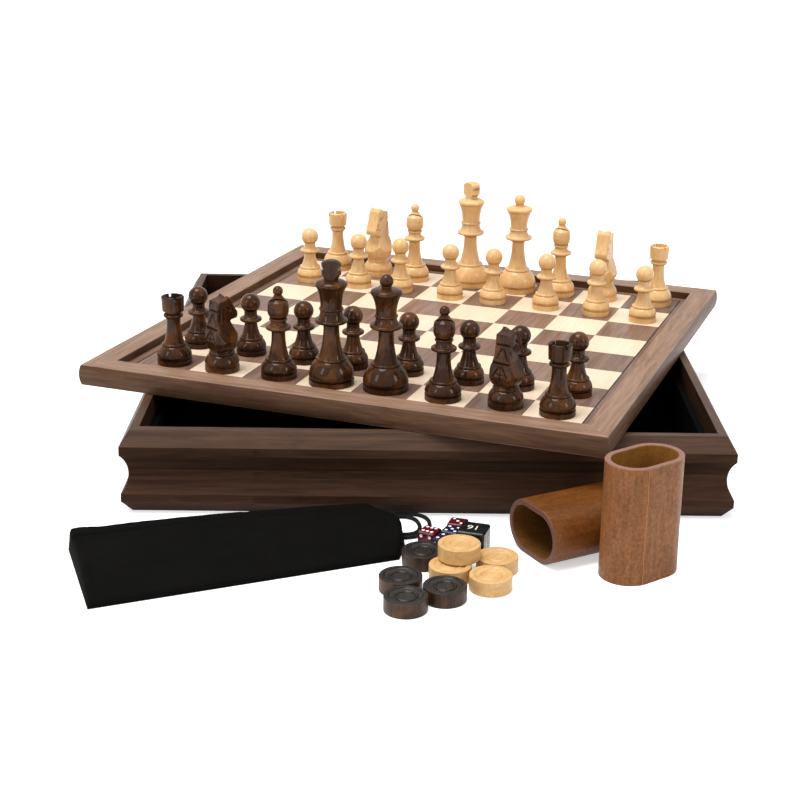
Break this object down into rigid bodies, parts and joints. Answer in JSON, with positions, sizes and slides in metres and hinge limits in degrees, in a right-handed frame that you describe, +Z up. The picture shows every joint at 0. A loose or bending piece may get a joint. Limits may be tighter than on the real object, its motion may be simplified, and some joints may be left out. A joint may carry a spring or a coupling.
{
  "type": "games compendium",
  "caption": "Wooden games compendium: moulded box, reversible chess and backgammon board laid crosswise on it, turned chessmen, draughts, dice, shaking cups and a drawstring pouch.",
  "frame": {"origin": "middle of the box's underside, on the surface that it stands on", "axes": "+X to the right along the box's front, +Y from the front to the back, +Z up"},
  "size_m": [0.4548, 0.5587, 0.1436],
  "materials": {
    "black_lining": "matt black side liners and felt",
    "dark_walnut": "satin dark walnut, grain along each wall",
    "walnut": "satin greyish-brown walnut",
    "plywood": "bare plywood, hidden between the veneers",
    "maple": "satin pale maple veneer",
    "ebonised_wood": "black-dyed stringing and points",
    "dark_men": "lacquered dark brown wood",
    "light_men": "lacquered boxwood",
    "dark_draughts": "streaky near-black wood",
    "light_draughts": "boxwood, turned rings",
    "red_dice": "dark red, white pips",
    "blue_dice": "navy blue, white pips",
    "black_cube": "black with pale numbers",
    "cup_leather": "smooth tan leatherette, plain glued seam",
    "pouch_cloth": "plain black cloth",
    "black_cord": "black braided cord"
  },
  "bodies": {
    "box": {"box_back_wall": "dark_walnut", "box_floor": "dark_walnut", "box_front_wall": "dark_walnut", "box_left_wall": "dark_walnut", "box_lining": "black_lining", "box_right_wall": "dark_walnut"},
    "game_board": {"board_core": "plywood", "board_dark_inlay": "ebonised_wood", "board_frame": "walnut", "board_maple_veneer": "maple", "board_walnut_veneer": "walnut"},
    "pouch": {"pouch": "pouch_cloth", "pouch_cords": "black_cord"},
    "dark_bishop_3": {"dark_bishop_3": "dark_men"},
    "dark_bishop_6": {"dark_bishop_6": "dark_men"},
    "dark_king_4": {"dark_king_4": "dark_men"},
    "dark_knight_2": {"dark_knight_2": "dark_men"},
    "dark_knight_7": {"dark_knight_7": "dark_men"},
    "dark_pawn_1": {"dark_pawn_1": "dark_men"},
    "dark_pawn_2": {"dark_pawn_2": "dark_men"},
    "dark_pawn_3": {"dark_pawn_3": "dark_men"},
    "dark_pawn_4": {"dark_pawn_4": "dark_men"},
    "dark_pawn_5": {"dark_pawn_5": "dark_men"},
    "dark_pawn_6": {"dark_pawn_6": "dark_men"},
    "dark_pawn_7": {"dark_pawn_7": "dark_men"},
    "dark_pawn_8": {"dark_pawn_8": "dark_men"},
    "dark_queen_5": {"dark_queen_5": "dark_men"},
    "dark_rook_1": {"dark_rook_1": "dark_men"},
    "dark_rook_8": {"dark_rook_8": "dark_men"},
    "light_bishop_3": {"light_bishop_3": "light_men"},
    "light_bishop_6": {"light_bishop_6": "light_men"},
    "light_king_4": {"light_king_4": "light_men"},
    "light_knight_2": {"light_knight_2": "light_men"},
    "light_knight_7": {"light_knight_7": "light_men"},
    "light_pawn_1": {"light_pawn_1": "light_men"},
    "light_pawn_2": {"light_pawn_2": "light_men"},
    "light_pawn_3": {"light_pawn_3": "light_men"},
    "light_pawn_4": {"light_pawn_4": "light_men"},
    "light_pawn_5": {"light_pawn_5": "light_men"},
    "light_pawn_6": {"light_pawn_6": "light_men"},
    "light_pawn_7": {"light_pawn_7": "light_men"},
    "light_pawn_8": {"light_pawn_8": "light_men"},
    "light_queen_5": {"light_queen_5": "light_men"},
    "light_rook_1": {"light_rook_1": "light_men"},
    "light_rook_8": {"light_rook_8": "light_men"},
    "checker_dark_back": {"checker_dark_back": "dark_draughts"},
    "checker_dark_front": {"checker_dark_front": "dark_draughts"},
    "checker_dark_left": {"checker_dark_left": "dark_draughts"},
    "checker_dark_right": {"checker_dark_right": "dark_draughts"},
    "checker_light_back": {"checker_light_back": "light_draughts"},
    "checker_light_base": {"checker_light_base": "light_draughts"},
    "checker_light_front": {"checker_light_front": "light_draughts"},
    "checker_light_stacked": {"checker_light_stacked": "light_draughts"},
    "dice_cup_lying": {"dice_cup_lying": "cup_leather"},
    "dice_cup_standing": {"dice_cup_standing": "cup_leather"},
    "die_blue_back": {"die_blue_back": "blue_dice"},
    "die_blue_front": {"die_blue_front": "blue_dice"},
    "die_red_back": {"die_red_back": "red_dice"},
    "die_red_left": {"die_red_left": "red_dice"},
    "doubling_cube": {"doubling_cube": "black_cube"}
  },
  "joints": [
    {"name": "board_lift", "type": "slide", "parent": "box", "child": "game_board", "axis": [0, 0, 1], "range_m": [0, 0.12]},
    {"name": "dark_bishop_3_lift", "type": "slide", "parent": "game_board", "child": "dark_bishop_3", "axis": [0, 0, 1], "range_m": [0, 0.1]},
    {"name": "dark_bishop_6_lift", "type": "slide", "parent": "game_board", "child": "dark_bishop_6", "axis": [0, 0, 1], "range_m": [0, 0.1]},
    {"name": "dark_king_4_lift", "type": "slide", "parent": "game_board", "child": "dark_king_4", "axis": [0, 0, 1], "range_m": [0, 0.1]},
    {"name": "dark_knight_2_lift", "type": "slide", "parent": "game_board", "child": "dark_knight_2", "axis": [0, 0, 1], "range_m": [0, 0.1]},
    {"name": "dark_knight_7_lift", "type": "slide", "parent": "game_board", "child": "dark_knight_7", "axis": [0, 0, 1], "range_m": [0, 0.1]},
    {"name": "dark_pawn_1_lift", "type": "slide", "parent": "game_board", "child": "dark_pawn_1", "axis": [0, 0, 1], "range_m": [0, 0.1]},
    {"name": "dark_pawn_2_lift", "type": "slide", "parent": "game_board", "child": "dark_pawn_2", "axis": [0, 0, 1], "range_m": [0, 0.1]},
    {"name": "dark_pawn_3_lift", "type": "slide", "parent": "game_board", "child": "dark_pawn_3", "axis": [0, 0, 1], "range_m": [0, 0.1]},
    {"name": "dark_pawn_4_lift", "type": "slide", "parent": "game_board", "child": "dark_pawn_4", "axis": [0, 0, 1], "range_m": [0, 0.1]},
    {"name": "dark_pawn_5_lift", "type": "slide", "parent": "game_board", "child": "dark_pawn_5", "axis": [0, 0, 1], "range_m": [0, 0.1]},
    {"name": "dark_pawn_6_lift", "type": "slide", "parent": "game_board", "child": "dark_pawn_6", "axis": [0, 0, 1], "range_m": [0, 0.1]},
    {"name": "dark_pawn_7_lift", "type": "slide", "parent": "game_board", "child": "dark_pawn_7", "axis": [0, 0, 1], "range_m": [0, 0.1]},
    {"name": "dark_pawn_8_lift", "type": "slide", "parent": "game_board", "child": "dark_pawn_8", "axis": [0, 0, 1], "range_m": [0, 0.1]},
    {"name": "dark_queen_5_lift", "type": "slide", "parent": "game_board", "child": "dark_queen_5", "axis": [0, 0, 1], "range_m": [0, 0.1]},
    {"name": "dark_rook_1_lift", "type": "slide", "parent": "game_board", "child": "dark_rook_1", "axis": [0, 0, 1], "range_m": [0, 0.1]},
    {"name": "dark_rook_8_lift", "type": "slide", "parent": "game_board", "child": "dark_rook_8", "axis": [0, 0, 1], "range_m": [0, 0.1]},
    {"name": "light_bishop_3_lift", "type": "slide", "parent": "game_board", "child": "light_bishop_3", "axis": [0, 0, 1], "range_m": [0, 0.1]},
    {"name": "light_bishop_6_lift", "type": "slide", "parent": "game_board", "child": "light_bishop_6", "axis": [0, 0, 1], "range_m": [0, 0.1]},
    {"name": "light_king_4_lift", "type": "slide", "parent": "game_board", "child": "light_king_4", "axis": [0, 0, 1], "range_m": [0, 0.1]},
    {"name": "light_knight_2_lift", "type": "slide", "parent": "game_board", "child": "light_knight_2", "axis": [0, 0, 1], "range_m": [0, 0.1]},
    {"name": "light_knight_7_lift", "type": "slide", "parent": "game_board", "child": "light_knight_7", "axis": [0, 0, 1], "range_m": [0, 0.1]},
    {"name": "light_pawn_1_lift", "type": "slide", "parent": "game_board", "child": "light_pawn_1", "axis": [0, 0, 1], "range_m": [0, 0.1]},
    {"name": "light_pawn_2_lift", "type": "slide", "parent": "game_board", "child": "light_pawn_2", "axis": [0, 0, 1], "range_m": [0, 0.1]},
    {"name": "light_pawn_3_lift", "type": "slide", "parent": "game_board", "child": "light_pawn_3", "axis": [0, 0, 1], "range_m": [0, 0.1]},
    {"name": "light_pawn_4_lift", "type": "slide", "parent": "game_board", "child": "light_pawn_4", "axis": [0, 0, 1], "range_m": [0, 0.1]},
    {"name": "light_pawn_5_lift", "type": "slide", "parent": "game_board", "child": "light_pawn_5", "axis": [0, 0, 1], "range_m": [0, 0.1]},
    {"name": "light_pawn_6_lift", "type": "slide", "parent": "game_board", "child": "light_pawn_6", "axis": [0, 0, 1], "range_m": [0, 0.1]},
    {"name": "light_pawn_7_lift", "type": "slide", "parent": "game_board", "child": "light_pawn_7", "axis": [0, 0, 1], "range_m": [0, 0.1]},
    {"name": "light_pawn_8_lift", "type": "slide", "parent": "game_board", "child": "light_pawn_8", "axis": [0, 0, 1], "range_m": [0, 0.1]},
    {"name": "light_queen_5_lift", "type": "slide", "parent": "game_board", "child": "light_queen_5", "axis": [0, 0, 1], "range_m": [0, 0.1]},
    {"name": "light_rook_1_lift", "type": "slide", "parent": "game_board", "child": "light_rook_1", "axis": [0, 0, 1], "range_m": [0, 0.1]},
    {"name": "light_rook_8_lift", "type": "slide", "parent": "game_board", "child": "light_rook_8", "axis": [0, 0, 1], "range_m": [0, 0.1]},
    {"name": "checker_dark_back_push", "type": "slide", "parent": "box", "child": "checker_dark_back", "axis": [-0.848, -0.5299, 0], "range_m": [0, 0.002]},
    {"name": "checker_dark_front_lift", "type": "slide", "parent": "box", "child": "checker_dark_front", "axis": [0, 0, 1], "range_m": [0, 0.1]},
    {"name": "checker_dark_left_lift", "type": "slide", "parent": "box", "child": "checker_dark_left", "axis": [0, 0, 1], "range_m": [0, 0.1]},
    {"name": "checker_dark_right_lift", "type": "slide", "parent": "box", "child": "checker_dark_right", "axis": [0, 0, 1], "range_m": [0, 0.1]},
    {"name": "checker_light_back_push", "type": "slide", "parent": "box", "child": "checker_light_back", "axis": [0.9563, -0.2924, 0], "range_m": [0, 0.008]},
    {"name": "checker_light_base_lift", "type": "slide", "parent": "box", "child": "checker_light_base", "axis": [0, 0, 1], "range_m": [0, 0.1]},
    {"name": "checker_light_front_lift", "type": "slide", "parent": "box", "child": "checker_light_front", "axis": [0, 0, 1], "range_m": [0, 0.1]},
    {"name": "checker_light_stacked_lift", "type": "slide", "parent": "checker_light_base", "child": "checker_light_stacked", "axis": [0, 0, 1], "range_m": [0, 0.1]},
    {"name": "dice_cup_lying_push", "type": "slide", "parent": "box", "child": "dice_cup_lying", "axis": [-0.8771, -0.4802, 0], "range_m": [0, 0.007]},
    {"name": "dice_cup_standing_lift", "type": "slide", "parent": "box", "child": "dice_cup_standing", "axis": [0, 0, 1], "range_m": [0, 0.1]},
    {"name": "die_blue_back_lift", "type": "slide", "parent": "box", "child": "die_blue_back", "axis": [0, 0, 1], "range_m": [0, 0.1]},
    {"name": "die_blue_front_lift", "type": "slide", "parent": "box", "child": "die_blue_front", "axis": [0, 0, 1], "range_m": [0, 0.1]},
    {"name": "die_red_back_lift", "type": "slide", "parent": "box", "child": "die_red_back", "axis": [0, 0, 1], "range_m": [0, 0.1]},
    {"name": "die_red_left_lift", "type": "slide", "parent": "box", "child": "die_red_left", "axis": [0, 0, 1], "range_m": [0, 0.1]},
    {"name": "doubling_cube_lift", "type": "slide", "parent": "box", "child": "doubling_cube", "axis": [0, 0, 1], "range_m": [0, 0.1]},
    {"name": "pouch_lift", "type": "slide", "parent": "box", "child": "pouch", "axis": [0, -0.6, 0.8], "range_m": [0, 0.1]}
  ]
}
